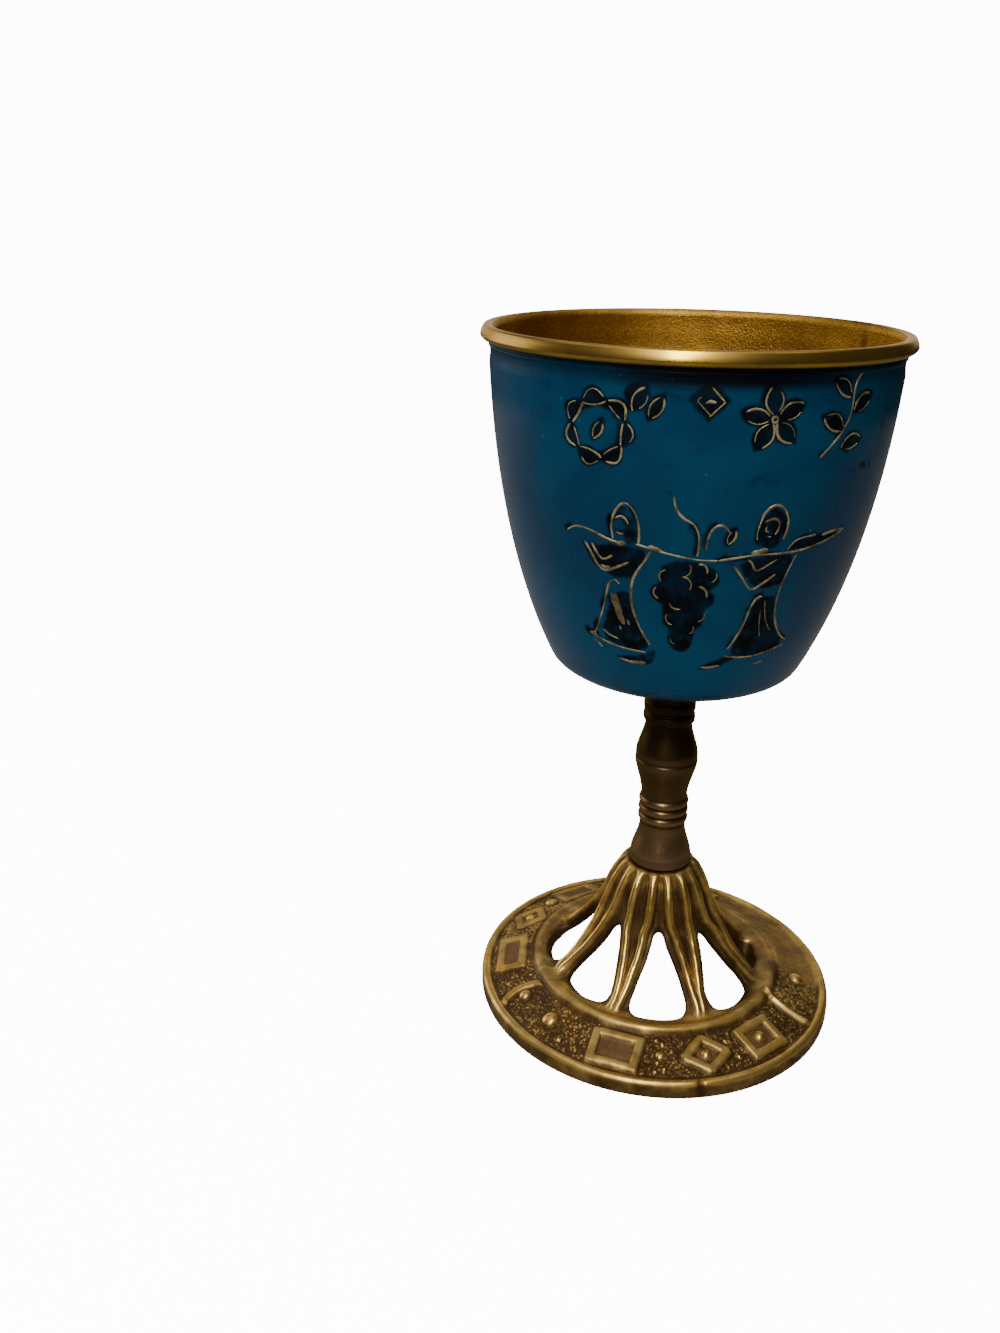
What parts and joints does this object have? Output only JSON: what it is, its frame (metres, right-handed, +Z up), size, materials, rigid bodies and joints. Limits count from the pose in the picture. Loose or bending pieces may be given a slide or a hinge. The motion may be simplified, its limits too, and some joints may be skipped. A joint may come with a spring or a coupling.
{
  "type": "kiddush cup",
  "caption": "Footed ritual wine cup: an enamelled metal bowl with a rolled rim, on a turned stem and a pierced, ribbed foot that stands on a flat ring.",
  "frame": {"origin": "middle of the foot's flat underside", "axes": "+Z up along the cup's axis of turning; the front of the decoration faces -Y"},
  "size_m": [0.078, 0.078, 0.14],
  "materials": {
    "enamel": "deep blue translucent enamel over brass, glossy, faintly mottled and speckled",
    "dark_brass": "satin, brown patina with paler worn beads",
    "cast_brass": "cast brass, brown in the hollows and bright on the worn ridges",
    "gilt": "gold-coloured, bright on the rim and lines, granular and spotted inside the bowl"
  },
  "bodies": {
    "root": {"bowl": "enamel", "stem": "dark_brass", "foot": "cast_brass"}
  },
  "joints": []
}
